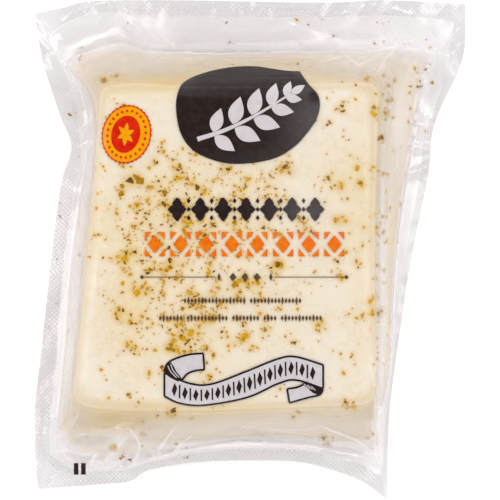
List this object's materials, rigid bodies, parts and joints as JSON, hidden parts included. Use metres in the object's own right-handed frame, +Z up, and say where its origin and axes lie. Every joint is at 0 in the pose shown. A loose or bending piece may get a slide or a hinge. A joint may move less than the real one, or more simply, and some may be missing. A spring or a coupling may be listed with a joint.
{
  "type": "halloumi",
  "caption": "A flat vacuum pack of herbed halloumi in clear film, about 112 by 130 by 26 mm, lying on its back with its printed face up",
  "frame": {"origin": "under the middle of the pack, on the surface that it lies on", "axes": "+X to the right of the printed face, +Y to its top, +Z up out of the face"},
  "size_m": [0.112, 0.1295, 0.0256],
  "materials": {
    "clear_film": "thin clear barrier film, glossy, with a fine diamond knurl in the seal",
    "cheese": "moist cream cheese",
    "whey": "milky liquid in the pockets of the film",
    "dried_mint": "dry crushed leaf, golden brown to dark olive",
    "dark_print": "dark brown ink under gloss film",
    "orange_print": "orange ink under gloss film",
    "yellow_print": "yellow ink under gloss film",
    "red_print": "red ink under gloss film",
    "white_print": "white ink under gloss film"
  },
  "bodies": {
    "root": {"vacuum_pack": "clear_film"}
  },
  "joints": []
}
